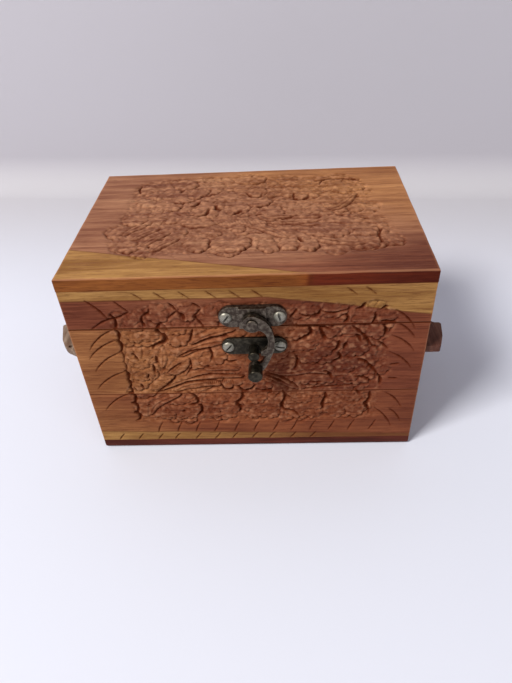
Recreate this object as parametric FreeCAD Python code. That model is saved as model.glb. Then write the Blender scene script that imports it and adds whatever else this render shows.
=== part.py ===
"""Carved wooden keepsake box with a hinged lid and a horn-shaped swing latch.

Frame: millimetres, +Z up, origin at the centre of the underside.
The latch is on the front, which faces -Y. The hinges are on the back.
"""
import FreeCAD, Part
import os

V = FreeCAD.Vector

# Driving dimensions of the box
WIDTH = 152.4
DEPTH = 101.6
HEIGHT = 101.6
WALL = 8.0
BOTTOM_THICK = 5.3
TOP_THICK = 5.8
GLUE_LINE_Z = 37.6
SPLIT_Z = 76.1
SEAT_GAP = 0.3
EDGE_ROUND = 0.6
BOTTOM_ROUND = 1.8

# Side lift handles, hand cut, so left and right differ. Each corner of an ear, from its outer
# end inwards: distance from mid-depth, how far it stands out, and its rounding
HANDLE_HALF = {-1: 47.6, 1: 48.2}
HANDLE_EAR = {-1: ((43.6, 6.9, 8.0), (38.6, 10.0, 8.0), (26.6, 13.3, 1.2)),
              1: ((48.2, 7.2, 1.2), (41.0, 9.5, 8.0), (31.5, 10.9, 1.2))}
HANDLE_ROOT_ROUND = 2.5
HANDLE_Z = 57.6
HANDLE_TALL = 3.4
HANDLE_GRIP = 6.2
NAIL_Y = 36.0
NAIL_R = 0.6
NAIL_LONG = 15.0
NAIL_HEAD_R = 1.1
NAIL_HEAD_THICK = 0.5
NAIL_HEAD_PROUD = 9.4
OPEN_HOLE_R = 0.9
OPEN_HOLE_PROUD = 5.0
OPEN_HOLE_Y = -43.0

# Latch
LATCH_X = 2.8
PLATE_HALF = 14.1
PLATE_SCREW_X = 11.1
HASP_Z = 82.4
HASP_TALL = 10.0
HASP_THICK = 2.0
BOSS_WIDE = 11.2
BOSS_PROUD = 3.3
CATCH_Z = 66.3
CATCH_TALL = 8.6
CATCH_THICK = 1.3
PIVOT_X = 2.6
PIVOT_Z = 81.5
RIVET_R = 1.6
RIVET_HEAD_R = 2.4
RIVET_PROUD = 7.1
RIVET_ROUND = 0.4
EYE_R = 4.0
EYE_BACK = 3.4
HOOK_BACK = 3.9
HOOK_FRONT = 6.1
STUD_Z = 65.1
STUD_R = 2.0
STUD_HEAD_R = 2.4
STUD_NECK_PROUD = 6.2
STUD_PROUD = 7.5
STUD_ROUND = 0.5
KNOB_X = 3.0
KNOB_Z = 57.4
KNOB_R = 3.1
KNOB_PIN_R = 1.2
KNOB_PROUD = 11.5
KNOB_ROUND = 0.6
SHANK_SHORT = 0.5
RUN_CLEAR = 0.05

# Round-head screws of the latch
SCREW_HEAD_R = 2.6
SCREW_HEAD_TALL = 1.4
SCREW_SHANK_R = 1.2
SCREW_LONG = 6.0
SCREW_POINT = 1.5
SCREW_TIP_R = 0.2
SLOT_WIDE = 0.85
SLOT_DEEP = 0.8

# Butt hinges let into the rims at the back
HINGE_X = 45.0
HINGE_LONG = 25.0
HINGE_LEAF_DEEP = 7.0
HINGE_LEAF_THICK = 1.0
HINGE_AXIS_OUT = 0.9
KNUCKLE_R = 1.7
KNUCKLE_GAP = 0.2
PIN_R = 0.8
HINGE_ROOM = 0.25
HINGE_SCREW_X = 7.5
HINGE_SCREW_IN = 3.6
HINGE_SCREW_HEAD_R = 1.7
HINGE_SCREW_SHANK_R = 0.9
HINGE_SCREW_LONG = 6.0

# Worked-out planes
FRONT_Y = -DEPTH / 2
BACK_Y = DEPTH / 2
SIDE_X = WIDTH / 2
RIM_Z = SPLIT_Z - SEAT_GAP / 2
LID_Z = SPLIT_Z + SEAT_GAP / 2
LID_RAIL_TOP = HEIGHT - TOP_THICK
AXIS_Y = BACK_Y + HINGE_AXIS_OUT
HANDLE_MID_Z = HANDLE_Z + HANDLE_TALL / 2
NAIL_HEAD_X = SIDE_X + NAIL_HEAD_PROUD


def block(x0, x1, y0, y1, z0, z1):
    """A box between two corners."""
    return Part.makeBox(x1 - x0, y1 - y0, z1 - z0, V(x0, y0, z0))


def rod_y(x, z, radius, proud_back, proud_front):
    """A round bar along Y, between two distances in front of the front face."""
    start = V(x, FRONT_Y - proud_front, z)
    return Part.makeCylinder(radius, proud_front - proud_back, start, V(0, 1, 0))


def rod_x(x0, x1, y, z, radius):
    """A round bar along X, whichever of its ends comes first."""
    return Part.makeCylinder(radius, abs(x1 - x0), V(min(x0, x1), y, z), V(1, 0, 0))


def rod_z(x, y, z0, z1, radius):
    """A round bar along Z."""
    return Part.makeCylinder(radius, z1 - z0, V(x, y, z0), V(0, 0, 1))


def fused(solids):
    """One clean solid from touching ones."""
    shape = solids[0]
    for other in solids[1:]:
        shape = shape.fuse(other)
    return shape.removeSplitter()


def without(shape, cutters):
    """A shape with every cutter removed."""
    for cutter in cutters:
        shape = shape.cut(cutter)
    return shape


def edges_at(shape, test):
    """The edges of which both ends pass a test."""
    return [e for e in shape.Edges if all(test(v.Point) for v in e.Vertexes)]


def save(node, shape):
    """Write one node, as a compound when it is a group of solids."""
    shape.exportStep("parts/" + node + ".step")


# Fasteners

def round_head_screw(x, z, seat, turn):
    """A slotted round-head screw driven along +Y, its head on a plate of thickness seat."""
    crown = Part.makeSphere(SCREW_HEAD_R, V(x, FRONT_Y - seat, z))
    flatten = FreeCAD.Matrix()
    flatten.move(V(0, seat - FRONT_Y, 0))
    flatten.scale(1, SCREW_HEAD_TALL / SCREW_HEAD_R, 1)
    flatten.move(V(0, FRONT_Y - seat, 0))
    crown = crown.transformGeometry(flatten)
    reach = 2 * SCREW_HEAD_R
    under = FRONT_Y - seat
    head = crown.common(block(x - reach, x + reach, under - reach, under, z - reach, z + reach))
    top = under - SCREW_HEAD_TALL
    slot = block(x - reach, x + reach, top - reach, top + SLOT_DEEP, z - SLOT_WIDE / 2, z + SLOT_WIDE / 2)
    slot.rotate(V(x, FRONT_Y, z), V(0, 1, 0), turn)
    shank = rod_y(x, z, SCREW_SHANK_R, SCREW_POINT - SCREW_LONG, seat)
    point = Part.makeCone(SCREW_SHANK_R, SCREW_TIP_R, SCREW_POINT,
                          V(x, FRONT_Y + SCREW_LONG - SCREW_POINT, z), V(0, 1, 0))
    return fused([head.cut(slot), shank, point])


def flat_head_screw(x, y, top_z, way):
    """A countersunk screw with its flat head at top_z, driven along way (1 up, -1 down)."""
    deep = HINGE_SCREW_HEAD_R - HINGE_SCREW_SHANK_R
    head = Part.makeCone(HINGE_SCREW_HEAD_R, HINGE_SCREW_SHANK_R, deep, V(x, y, top_z), V(0, 0, way))
    low, high = sorted((top_z, top_z + way * HINGE_SCREW_LONG))
    return fused([head, rod_z(x, y, low, high, HINGE_SCREW_SHANK_R)])


def handle_nails(side):
    """The two wire nails through a handle's ears into the side wall, their heads sunk."""
    nails = []
    for end in (-1, 1):
        shank = rod_x(side * (NAIL_HEAD_X - NAIL_LONG), side * NAIL_HEAD_X,
                      end * NAIL_Y, HANDLE_MID_Z, NAIL_R)
        head = rod_x(side * (NAIL_HEAD_X - NAIL_HEAD_THICK), side * NAIL_HEAD_X,
                     end * NAIL_Y, HANDLE_MID_Z, NAIL_HEAD_R)
        nails.append(fused([shank, head]))
    return nails


HASP_SCREWS = [round_head_screw(LATCH_X - PLATE_SCREW_X, HASP_Z, HASP_THICK, -52),
               round_head_screw(LATCH_X + PLATE_SCREW_X, HASP_Z, HASP_THICK, 78)]
CATCH_SCREWS = [round_head_screw(LATCH_X - PLATE_SCREW_X, CATCH_Z, CATCH_THICK, -48),
                round_head_screw(LATCH_X + PLATE_SCREW_X, CATCH_Z, CATCH_THICK, 14)]


# Latch

def latch_plate(mid_z, tall, thick):
    """A flat plate with rounded ends, flat on the front face."""
    r = tall / 2
    flat = PLATE_HALF - r
    middle = block(LATCH_X - flat, LATCH_X + flat, FRONT_Y - thick, FRONT_Y, mid_z - r, mid_z + r)
    ends = [rod_y(LATCH_X + side * flat, mid_z, r, 0, thick) for side in (-1, 1)]
    return fused([middle] + ends)


def hasp_plate():
    """The upper plate, with the raised boss that carries the hook's rivet."""
    plate = latch_plate(HASP_Z, HASP_TALL, HASP_THICK)
    boss = block(LATCH_X - BOSS_WIDE / 2, LATCH_X + BOSS_WIDE / 2, FRONT_Y - BOSS_PROUD, FRONT_Y,
                 HASP_Z - HASP_TALL / 2, HASP_Z + HASP_TALL / 2)
    shape = fused([plate, boss])
    return without(shape, HASP_SCREWS + [rod_y(PIVOT_X, PIVOT_Z, RIVET_R, 0, BOSS_PROUD)])


def headed_pin(x, z, shank_r, shank_back, head_r, head_back, proud, rounding):
    """A round pin along Y with a wider head, whose front rim is rounded."""
    shank = rod_y(x, z, shank_r, shank_back, proud - SHANK_SHORT)
    head = rod_y(x, z, head_r, head_back, proud)
    rim = [e for e in head.Edges if abs(e.CenterOfMass.y - (FRONT_Y - proud)) < 0.01]
    return fused([shank, head.makeFillet(rounding, rim)])


def hasp_rivet():
    """The rivet the hook turns on: a shank set in the plate and a domed head."""
    return headed_pin(PIVOT_X, PIVOT_Z, RIVET_R, 0, RIVET_HEAD_R, HOOK_FRONT + RUN_CLEAR,
                      RIVET_PROUD, RIVET_ROUND)


def spline(points):
    """A smooth edge through (x, z) points, in the plane of the hook's back."""
    curve = Part.BSplineCurve()
    curve.interpolate([V(x, FRONT_Y - HOOK_BACK, z) for x, z in points])
    return curve.toShape()


def path(points):
    """Straight edges through (x, z) points, in the plane of the hook's back."""
    return Part.makePolygon([V(x, FRONT_Y - HOOK_BACK, z) for x, z in points])


def hook():
    """The horn-shaped hook: eye, sweeping arm, inward tooth and tail."""
    outer = [(5.4, 84.4), (7.9, 82.8), (9.7, 80.2), (10.9, 76.9), (11.5, 73.3), (11.5, 69.6),
             (10.4, 65.2), (8.9, 61.3), (7.1, 57.6), (5.0, 55.4)]
    throat = [(8.2, 68.7), (8.9, 71.2), (8.8, 73.8), (8.1, 76.0), (6.8, 77.6), (5.2, 78.4)]
    tail = [(4.2, 59.7), (5.7, 60.6), (6.8, 62.4), (8.1, 64.6)]
    tooth = [tail[-1], (5.6, 65.1), (5.8, 67.1), throat[0]]
    wire = Part.Wire(Part.__sortEdges__(
        [spline(outer), spline(throat), spline(tail)] + path(tooth).Edges
        + path([outer[-1], (KNOB_X, KNOB_Z), tail[0]]).Edges
        + path([throat[-1], (PIVOT_X, PIVOT_Z), outer[0]]).Edges))
    arm = Part.Face(wire).extrude(V(0, HOOK_BACK - HOOK_FRONT, 0))
    eye = rod_y(PIVOT_X, PIVOT_Z, EYE_R, EYE_BACK, HOOK_FRONT)
    boss = rod_y(KNOB_X, KNOB_Z, KNOB_R, HOOK_BACK, HOOK_FRONT)
    shape = fused([eye, arm, boss])
    return without(shape, [rod_y(PIVOT_X, PIVOT_Z, RIVET_R + RUN_CLEAR, 0, RIVET_PROUD),
                           rod_y(KNOB_X, KNOB_Z, KNOB_PIN_R, 0, KNOB_PROUD)])


def hook_knob():
    """The finger knob riveted to the hook's tail."""
    return headed_pin(KNOB_X, KNOB_Z, KNOB_PIN_R, HOOK_BACK, KNOB_R, HOOK_FRONT, KNOB_PROUD, KNOB_ROUND)


def catch_plate():
    """The lower plate, bored for the catch stud."""
    plate = latch_plate(CATCH_Z, CATCH_TALL, CATCH_THICK)
    return without(plate, CATCH_SCREWS + [rod_y(PIVOT_X, STUD_Z, STUD_R, 0, CATCH_THICK)])


def catch_stud():
    """The headed stud the hook closes around."""
    return headed_pin(PIVOT_X, STUD_Z, STUD_R, 0, STUD_HEAD_R, STUD_NECK_PROUD, STUD_PROUD, STUD_ROUND)


# Hinges

def knuckle_spans():
    """Where the three knuckles lie along a hinge, as (start, end) from its middle."""
    third = HINGE_LONG / 3
    half_gap = KNUCKLE_GAP / 2
    return [(-HINGE_LONG / 2, -third / 2 - half_gap),
            (-third / 2 + half_gap, third / 2 - half_gap),
            (third / 2 + half_gap, HINGE_LONG / 2)]


def hinge_screws(mid_x, top_z, way):
    """The two screws of one leaf."""
    y = BACK_Y - HINGE_SCREW_IN
    return [flat_head_screw(mid_x + side * HINGE_SCREW_X, y, top_z, way) for side in (-1, 1)]


def hinge_leaf(mid_x, low_z, spans, screws, bore):
    """One leaf with its knuckles, let into a rim."""
    high_z = low_z + HINGE_LEAF_THICK
    deep_y = BACK_Y - HINGE_LEAF_DEEP
    clear_y = AXIS_Y - KNUCKLE_R - HINGE_ROOM
    solids = [block(mid_x - HINGE_LONG / 2, mid_x + HINGE_LONG / 2, deep_y, clear_y, low_z, high_z)]
    for start, end in spans:
        solids.append(block(mid_x + start, mid_x + end, clear_y, AXIS_Y, low_z, high_z))
        solids.append(rod_x(mid_x + start, mid_x + end, AXIS_Y, SPLIT_Z, KNUCKLE_R))
    hole = rod_x(mid_x - HINGE_LONG, mid_x + HINGE_LONG, AXIS_Y, SPLIT_Z, bore)
    return without(fused(solids), screws + [hole])


def hinge_pin(mid_x):
    """The pin through all three knuckles."""
    return rod_x(mid_x - HINGE_LONG / 2, mid_x + HINGE_LONG / 2, AXIS_Y, SPLIT_Z, PIN_R)


def hinge_pocket(mid_x, low_z):
    """The wood cut away for one leaf and for the barrel."""
    half = HINGE_LONG / 2
    room = half + HINGE_ROOM
    leaf = block(mid_x - half, mid_x + half, BACK_Y - HINGE_LEAF_DEEP, BACK_Y + 1,
                 low_z, low_z + HINGE_LEAF_THICK)
    barrel = rod_x(mid_x - room, mid_x + room, AXIS_Y, SPLIT_Z, KNUCKLE_R + HINGE_ROOM)
    return [leaf, barrel]


# Boards

def box_board(x0, x1, y0, y1, z0, z1, cutters=()):
    """A plain board with its fastener holes and pockets."""
    return without(block(x0, x1, y0, y1, z0, z1), list(cutters))


def end_board(side, z0, z1, cutters=()):
    """A side board between the front and back ones."""
    x0, x1 = sorted((side * SIDE_X, side * (SIDE_X - WALL)))
    return box_board(x0, x1, FRONT_Y + WALL, BACK_Y - WALL, z0, z1, cutters)


def bottom_board():
    """The base board, with its lower edges rounded."""
    board = block(-SIDE_X, SIDE_X, FRONT_Y, BACK_Y, 0, BOTTOM_THICK)
    return board.makeFillet(BOTTOM_ROUND, edges_at(board, lambda p: p.z < 0.01))


def lid_top_board():
    """The lid's top board, with its upper edges softened."""
    board = block(-SIDE_X, SIDE_X, FRONT_Y, BACK_Y, LID_RAIL_TOP, HEIGHT)
    return board.makeFillet(EDGE_ROUND, edges_at(board, lambda p: p.z > HEIGHT - 0.01))


def upright_edge(shape, x, y):
    """The vertical edge of a shape that stands at (x, y)."""
    return edges_at(shape, lambda p: abs(p.x - x) + abs(p.y - y) < 0.01)[0]


def side_handle(side):
    """A lift handle: a strip with a proud ear at each end and a slimmer grip between them."""
    ear = HANDLE_EAR[side]
    inner_y = ear[-1][0]
    half_outline = [(HANDLE_HALF[side], 0.0)] + [(y, proud) for y, proud, _ in ear]
    half_outline.append((inner_y, HANDLE_GRIP))
    outline = half_outline + [(-y, proud) for y, proud in reversed(half_outline)]
    points = [V(side * (SIDE_X + proud), y, HANDLE_Z) for y, proud in outline]
    shape = Part.Face(Part.makePolygon(points + points[:1])).extrude(V(0, 0, HANDLE_TALL))
    roundings = list(ear) + [(inner_y, HANDLE_GRIP, HANDLE_ROOT_ROUND)]
    for y, proud, radius in roundings:
        for end in (-1, 1):
            edge = upright_edge(shape, side * (SIDE_X + proud), end * y)
            shape = shape.makeFillet(radius, [edge])
    holes = handle_nails(side)
    for end in (-1, 1):
        holes.append(rod_x(side * NAIL_HEAD_X, side * (SIDE_X + ear[-1][1]), end * NAIL_Y, HANDLE_MID_Z,
                           NAIL_HEAD_R))
    if side < 0:
        open_x = side * (SIDE_X + OPEN_HOLE_PROUD)
        holes.append(rod_z(open_x, OPEN_HOLE_Y, HANDLE_Z, HANDLE_Z + HANDLE_TALL, OPEN_HOLE_R))
    return without(shape, holes)


def main():
    """Write every node."""
    os.makedirs("parts", exist_ok=True)
    save("bottom_board", bottom_board())

    body_hinge_cuts = []
    lid_hinge_cuts = []
    body_screws = []
    lid_screws = []
    for name, mid_x in (("left", -HINGE_X), ("right", HINGE_X)):
        screws = hinge_screws(mid_x, RIM_Z, -1)
        leaf = hinge_leaf(mid_x, RIM_Z - HINGE_LEAF_THICK, knuckle_spans()[0::2], screws, PIN_R)
        save("hinge_leaf_body_" + name, leaf)
        body_screws += screws
        body_hinge_cuts += screws + hinge_pocket(mid_x, RIM_Z - HINGE_LEAF_THICK)

        screws = hinge_screws(mid_x, LID_Z, 1)
        leaf = hinge_leaf(mid_x, LID_Z, knuckle_spans()[1:2], screws, PIN_R + RUN_CLEAR)
        save("hinge_leaf_lid_" + name, leaf)
        lid_screws += screws
        lid_hinge_cuts += screws + hinge_pocket(mid_x, LID_Z)
        save("hinge_pin_" + name, hinge_pin(mid_x))
    save("hinge_screws_body", Part.makeCompound(body_screws))
    save("hinge_screws_lid", Part.makeCompound(lid_screws))

    inner_front = FRONT_Y + WALL
    inner_back = BACK_Y - WALL
    save("body_front_lower", box_board(-SIDE_X, SIDE_X, FRONT_Y, inner_front, BOTTOM_THICK, GLUE_LINE_Z))
    save("body_front_upper",
         box_board(-SIDE_X, SIDE_X, FRONT_Y, inner_front, GLUE_LINE_Z, RIM_Z, CATCH_SCREWS))
    save("body_back_lower", box_board(-SIDE_X, SIDE_X, inner_back, BACK_Y, BOTTOM_THICK, GLUE_LINE_Z))
    save("body_back_upper",
         box_board(-SIDE_X, SIDE_X, inner_back, BACK_Y, GLUE_LINE_Z, RIM_Z, body_hinge_cuts))
    for name, side in (("left", -1), ("right", 1)):
        save("body_" + name + "_lower", end_board(side, BOTTOM_THICK, GLUE_LINE_Z))
        save("body_" + name + "_upper", end_board(side, GLUE_LINE_Z, RIM_Z, handle_nails(side)))
        save("lid_" + name + "_rail", end_board(side, LID_Z, LID_RAIL_TOP))
        save("side_handle_" + name, side_handle(side))
    save("handle_nails", Part.makeCompound(handle_nails(-1) + handle_nails(1)))

    save("lid_top_board", lid_top_board())
    save("lid_front_rail",
         box_board(-SIDE_X, SIDE_X, FRONT_Y, inner_front, LID_Z, LID_RAIL_TOP, HASP_SCREWS))
    save("lid_back_rail",
         box_board(-SIDE_X, SIDE_X, inner_back, BACK_Y, LID_Z, LID_RAIL_TOP, lid_hinge_cuts))

    save("hasp_plate", hasp_plate())
    save("hasp_rivet", hasp_rivet())
    save("hasp_screws", Part.makeCompound(HASP_SCREWS))
    save("hasp_hook", hook())
    save("hook_knob", hook_knob())
    save("catch_plate", catch_plate())
    save("catch_stud", catch_stud())
    save("catch_screws", Part.makeCompound(CATCH_SCREWS))


main()
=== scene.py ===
import math

import bmesh
import bpy
import numpy as np
from mathutils import Matrix, Vector


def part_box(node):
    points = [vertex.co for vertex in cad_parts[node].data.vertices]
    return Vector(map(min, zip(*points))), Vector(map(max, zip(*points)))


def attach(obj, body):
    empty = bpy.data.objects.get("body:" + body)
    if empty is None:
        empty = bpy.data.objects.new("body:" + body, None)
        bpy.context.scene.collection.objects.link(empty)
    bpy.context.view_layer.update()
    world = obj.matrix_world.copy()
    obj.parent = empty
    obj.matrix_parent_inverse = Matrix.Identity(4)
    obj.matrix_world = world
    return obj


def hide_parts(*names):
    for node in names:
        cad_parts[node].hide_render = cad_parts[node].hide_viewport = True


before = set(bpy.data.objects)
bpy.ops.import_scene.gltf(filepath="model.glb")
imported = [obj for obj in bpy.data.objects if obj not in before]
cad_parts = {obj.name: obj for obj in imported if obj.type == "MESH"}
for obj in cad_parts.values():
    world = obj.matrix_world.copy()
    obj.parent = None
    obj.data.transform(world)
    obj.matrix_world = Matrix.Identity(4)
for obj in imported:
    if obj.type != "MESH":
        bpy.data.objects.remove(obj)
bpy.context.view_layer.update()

MM = 0.001
SEED = 7

# Light, in watts, and the pale surround's strength for the scene and as the camera sees it
KEY_POWER = 49.0
FILL_POWER = 3.0
AMBIENT = 0.27
AMBIENT_SEEN = 0.62


def corners(node):
    """The lowest and the highest corner of a node's box, in millimetres."""
    return [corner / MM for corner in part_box(node)]


# The box's own planes, in millimetres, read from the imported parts
LID_LOW, LID_HIGH = corners("lid_top_board")
HALF_X = LID_HIGH.x
HALF_Y = LID_HIGH.y
RAIL_TOP_Z = LID_LOW.z
BASE_TOP_Z = corners("bottom_board")[1].z

# Carving, in millimetres
GRID = 0.32            # spacing of a carved face's mesh
TOP_GRID = 0.41        # the same on the lid's larger top
RASTER = 0.2           # spacing of the height field it is read from
EDGE = 0.35            # rounding of a board's outer edges
LID_EDGE = 0.6         # rounding of the lid's upper edges
FLANK = 1.7            # how far out a leaf's foot reaches into the ground
JOINT_DARK = 0.38      # width of the dirt line along each glue joint
HINGE_ROOM = 0.25      # clearance round a hinge barrel
SHANK_ROOM = 0.1       # how much slimmer the rivet's shank is drawn than its hole
LATCH_BEVEL = 0.35     # rounding of the latch's edges
SCREW_BEVEL = 0.12     # rounding of the screws' edges
WALL = 8.0             # thickness of the upright boards

rng = np.random.default_rng(SEED)


# ---------------------------------------------------------------- depth fields

def unit(x):
    """A value held between 0 and 1."""
    return np.clip(x, 0, 1)


def smooth(x):
    """Smooth step from 0 to 1."""
    x = unit(x)
    return x * x * (3 - 2 * x)


def through(points, closed=False, step=0.7):
    """A smooth line through a few points, or u, v, u, v numbers, as many short straight pieces."""
    p = np.array(points, float).reshape(-1, 2)
    if closed:
        p = np.vstack([p[-1:], p, p[:2]])
    else:
        p = np.vstack([2 * p[0] - p[1], p, 2 * p[-1] - p[-2]])
    out = []
    for k in range(1, len(p) - 2):
        a, b, c, d = p[k - 1:k + 3]
        t = np.linspace(0, 1, max(int(np.hypot(*(c - b)) / step), 3), endpoint=False)[:, None]
        out.append(0.5 * (2 * b + (c - a) * t + (2 * a - 5 * b + 4 * c - d) * t ** 2
                          + (3 * b - a - 3 * c + d) * t ** 3))
    out.append(p[-2:-1])
    return np.vstack(out)


def blurred(field, sigma):
    """A field softened by a Gaussian of that many cells."""
    reach = int(3 * sigma) + 1
    weights = np.exp(-0.5 * (np.arange(-reach, reach + 1) / sigma) ** 2)
    weights /= weights.sum()
    for axis in (0, 1):
        padded = np.pad(field, [(reach, reach) if k == axis else (0, 0) for k in (0, 1)], mode="edge")
        count = field.shape[axis]
        field = sum(w * np.take(padded, range(i, i + count), axis) for i, w in enumerate(weights))
    return field


def nearest(U, V, line):
    """For each point: its distance to a line, and how far along the line the nearest place is."""
    best = np.full(U.shape, 1e9)
    along = np.zeros(U.shape)
    run = 0.0
    for a, b in zip(line[:-1], line[1:]):
        length = float(np.hypot(*(b - a)))
        if length < 1e-6:
            continue
        d = (b - a) / length
        t = np.clip((U - a[0]) * d[0] + (V - a[1]) * d[1], 0, length)
        away = np.hypot(U - a[0] - t * d[0], V - a[1] - t * d[1])
        closer = away < best
        best[closer] = away[closer]
        along[closer] = run + t[closer]
        run += length
    return best, along, run


def enclosed(U, V, line):
    """Which points lie inside a closed line."""
    inside = np.zeros(U.shape, bool)
    for (x0, y0), (x1, y1) in zip(line[:-1], line[1:]):
        if y0 != y1:
            crosses = (V < y0) != (V < y1)
            inside ^= crosses & (U < x0 + (V - y0) / (y1 - y0) * (x1 - x0))
    return inside


class Relief:
    """The carved surface of one face, in millimetres: u runs right and v up as seen from outside.

    height is 0 at the board's face and negative inwards; dark is the darkening in the cuts, partly stained
    wood and partly painted shade.
    """

    def __init__(self, u0, u1, v0, v1):
        self.u = np.arange(u0, u1 + RASTER, RASTER)
        self.v = np.arange(v0, v1 + RASTER, RASTER)
        self.height = np.zeros((len(self.v), len(self.u)))
        self.dark = np.zeros_like(self.height)
        self.work = np.zeros_like(self.height)

    def window(self, points, margin):
        """The part of the field around some points: its index and its u and v values."""
        low, high = points.min(0) - margin, points.max(0) + margin
        rows = slice(*np.searchsorted(self.v, (low[1], high[1])))
        columns = slice(*np.searchsorted(self.u, (low[0], high[0])))
        return (rows, columns), *np.meshgrid(self.u[columns], self.v[rows])

    def ground(self, outline, deep=0.6):
        """Lower everything inside an outline to the ground, with a sloping border."""
        line = through(outline, True, 3.0)
        U, V = np.meshgrid(self.u, self.v)
        share = blurred(enclosed(U, V, line).astype(float), 1.5 / RASTER)
        self.height = np.minimum(self.height, -deep * share)
        self.work = np.maximum(self.work, share)

    def foliage(self, outline, spacing=9.0, size=1.45):
        """Cover everything inside an outline with overlapping leaves of many sizes and directions."""
        line = through(outline, True, 3.0)
        low, high = line.min(0), line.max(0)
        spots = []
        for i, v in enumerate(np.arange(low[1], high[1] + spacing, 0.8 * spacing)):
            for u in np.arange(low[0] + 0.5 * spacing * (i % 2), high[0] + spacing, spacing):
                spots.append((u, v) + 0.3 * spacing * rng.uniform(-1, 1, 2))
        spots = np.array(spots)
        spots = spots[enclosed(spots[:, 0], spots[:, 1], line)]
        for u, v in rng.permutation(spots):
            wide = spacing * size * rng.uniform(0.8, 1.2)
            bold = 0.9 * rng.uniform(0, 1) ** 2
            outline = spread(u, v, wide, wide * rng.uniform(0.55, 0.85), rng.uniform(0, 180))
            self.leaf(outline, 4.8, 0.7, bold=bold, fingers=0.3)

    def leaf(self, outline, pitch=4.4, bite=0.8, top=0.06, fingers=0.5, bold=0.6):
        """Leave a scalloped leaf standing inside an outline.

        Its wall is deep on the side away from the carver and fades out on the other; the dark band at its
        foot is stained wood, plus painted shade heaviest on that side, which is turned from the light.
        """
        line = through(outline, True)
        place, U, V = self.window(line, 2.2)
        if min(U.shape) < 3:
            return
        distance, along, run = nearest(U, V, line)
        inside = np.where(enclosed(U, V, line), distance, -distance)
        lobes = max(round(run / pitch), 1)
        shift = rng.uniform(0, 3)
        phase = np.pi * lobes * along / run + shift
        edge = inside + bite * (np.abs(np.sin(phase)) - 0.72)
        flank = smooth(1 + edge / FLANK)
        middle = line.mean(0)
        turn = -1.15 + rng.uniform(-0.6, 0.6)
        rise_v, rise_u = np.gradient(blurred(inside, 2))
        facing = rise_u * math.cos(turn) + rise_v * math.sin(turn)
        facing = facing / np.maximum(np.hypot(rise_u, rise_v), 1e-6)
        force = 0.22 + 0.78 * unit(0.5 - 0.5 * facing) ** 2
        lean = rng.uniform(-0.05, 0.05, 2)
        crown = -top - 0.14 * (1 - smooth(edge / 1.0))
        crown = crown + np.clip((U - middle[0]) * lean[0] + (V - middle[1]) * lean[1], -0.3, 0.05)
        notch = unit(1 - np.abs(np.sin(phase)) / 0.45)
        foot = -(0.5 + bold + 0.4 * notch) * force - 0.1 + 0.7 * smooth(-edge / FLANK)
        old = self.height[place]
        lowered = old * (1 - flank) + np.minimum(old, foot) * flank
        wall = unit(0.5 + edge / 0.36)
        self.height[place] = np.where(edge > -FLANK, lowered * (1 - wall) + crown * wall, old)
        # Dark band at the wall's foot: stained wood, plus painted shade heaviest where the wall is turned
        # from the light
        band = unit(1 - np.abs(edge + 0.25) / (0.4 + 0.45 * notch * force))
        uneven = 0.12 * np.sin(along * 0.55 + middle[0])
        band *= np.clip((0.1 + bold) * force + 0.25 * notch * force + uneven, 0.04, 1)
        dark = self.dark[place]
        dark[edge > 0.3] *= 0.3
        self.dark[place] = np.maximum(dark, band)
        self.work[place] = np.maximum(self.work[place], smooth(1 + edge / 2.0))
        if fingers:
            lengths = np.concatenate([[0], np.cumsum(np.hypot(*np.diff(line, axis=0).T))])
            for k in range(1, lobes + 1):
                spot = (k * np.pi - shift) / (np.pi * lobes) * run % run
                rim = np.array([np.interp(spot, lengths, line[:, 0]), np.interp(spot, lengths, line[:, 1])])
                end = rim + (middle - rim) * rng.uniform(0.25, 0.65)
                bend = (rim + end) / 2 + rng.uniform(-0.6, 0.6, 2)
                self.cut([rim, bend, end], rng.uniform(0.6, 1.3), rng.uniform(0.15, 0.5),
                         fingers * rng.uniform(0.1, 1))

    def nicks(self, outline, count, tilt=0.0):
        """Scatter short curved chisel marks inside an outline, more of them near the direction tilt."""
        line = through(outline, True, 3.0)
        spots = rng.uniform(line.min(0), line.max(0), (4 * count, 2))
        for spot in spots[enclosed(spots[:, 0], spots[:, 1], line)][:count]:
            angle = tilt + rng.normal(0, 0.8)
            reach = rng.uniform(0.8, 3.2) * np.array([math.cos(angle), math.sin(angle)])
            bow = rng.uniform(-0.7, 0.7, 2)
            points = [spot - reach, spot + bow, spot + reach]
            self.cut(points, rng.uniform(0.5, 1.3), rng.uniform(0.1, 0.45), rng.uniform(0.0, 0.6) ** 1.5)

    def cut(self, points, wide=1.1, deep=0.85, stain_and_shade=1.0):
        """A V-shaped chisel cut through some points, thin at both ends and a little uneven."""
        line = through(points, False, 0.6)
        place, U, V = self.window(line, wide + 0.5)
        if U.size == 0:
            return
        distance, along, run = nearest(U, V, line)
        share = np.sin(np.pi * unit(0.1 + 0.84 * along / run)) ** 0.7
        uneven = 1 + 0.28 * np.sin(along * 1.7 + run * 9) * np.sin(along * 0.61 + run)
        half = 0.5 * wide * (0.3 + 0.7 * share) * uneven
        v = unit(1 - distance / half)
        self.height[place] -= deep * share * v
        # Darkening along the cut: stained wood, plus painted shade in its groove
        self.dark[place] = np.maximum(self.dark[place], stain_and_shade * smooth(v * 1.9) * (0.55 + 0.45 * share))

    def blade(self, points, wide):
        """A long pointed leaf along a line, with a cut down its middle."""
        spine = through(points, False, 1.2)
        direction = np.gradient(spine, axis=0)
        direction /= np.hypot(*direction.T)[:, None]
        across = np.stack([-direction[:, 1], direction[:, 0]], 1)
        half = 0.5 * wide * np.sin(np.pi * np.linspace(0.04, 0.97, len(spine))) ** 0.7
        outline = np.vstack([spine + across * half[:, None], (spine - across * half[:, None])[::-1]])
        self.leaf(outline[::2], 60, 0.0, 0.08, 0, 0.7)
        self.cut(spine[1:-2:3], 0.9, 0.35, 0.6)

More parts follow.
